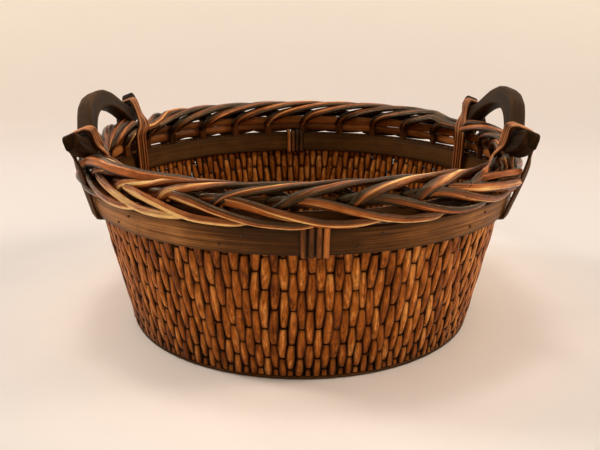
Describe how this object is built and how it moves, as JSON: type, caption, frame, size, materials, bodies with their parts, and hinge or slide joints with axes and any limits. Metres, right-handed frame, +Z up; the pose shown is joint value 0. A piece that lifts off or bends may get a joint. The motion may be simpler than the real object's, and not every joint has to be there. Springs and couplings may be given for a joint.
{
  "type": "woven wicker basket",
  "caption": "Round tapered wicker basket: packed split strands over thin cords, hooped bands, open gallery, plaited border and lashed wooden ear handles.",
  "frame": {"origin": "centre of the foot hoop's underside, at the middle of the footprint", "axes": "+Z up out of the basket's mouth, +X towards the right ear handle, -Y towards the front band wrap"},
  "size_m": [0.412, 0.412, 0.2169],
  "materials": {
    "woven_strand": "split willow, oiled, worn orange-brown",
    "weft_cord": "twisted plant-fibre cord, dark",
    "outer_band_wood": "split wood hoop with fine lengthwise grain, satin",
    "inner_band_wood": "split wood hoop, darker, satin",
    "base_splint": "flat split-wood plait, matt",
    "border_rod": "whole and half rods, varnished",
    "gallery_rod": "thin rods, varnished",
    "handle_wood": "carved hardwood, dark, satin",
    "lashing_reed": "ribbed reed strands, satin",
    "wrap_reed": "flat reed strands, satin",
    "pin_iron": "small dull pin heads"
  },
  "bodies": {
    "root": {"band_pins": "pin_iron", "band_wrap_front": "wrap_reed", "band_wrap_rear": "wrap_reed", "base_mat": "base_splint", "border_rods_inner": "border_rod", "border_rods_outer": "border_rod", "fitching_rod_lower": "gallery_rod", "fitching_rod_upper": "gallery_rod", "foot_hoop": "outer_band_wood", "handle_left": "handle_wood", "handle_right": "handle_wood", "inner_band": "inner_band_wood", "lashing_left_front": "lashing_reed", "lashing_left_rear": "lashing_reed", "lashing_right_front": "lashing_reed", "lashing_right_rear": "lashing_reed", "outer_band": "outer_band_wood", "stakes": "gallery_rod", "wall_weave": "woven_strand", "weft_cord_1": "weft_cord", "weft_cord_2": "weft_cord", "weft_cord_3": "weft_cord", "weft_cord_4": "weft_cord", "weft_cord_5": "weft_cord", "weft_cord_6": "weft_cord", "weft_cord_7": "weft_cord", "weft_cord_8": "weft_cord"}
  },
  "joints": []
}
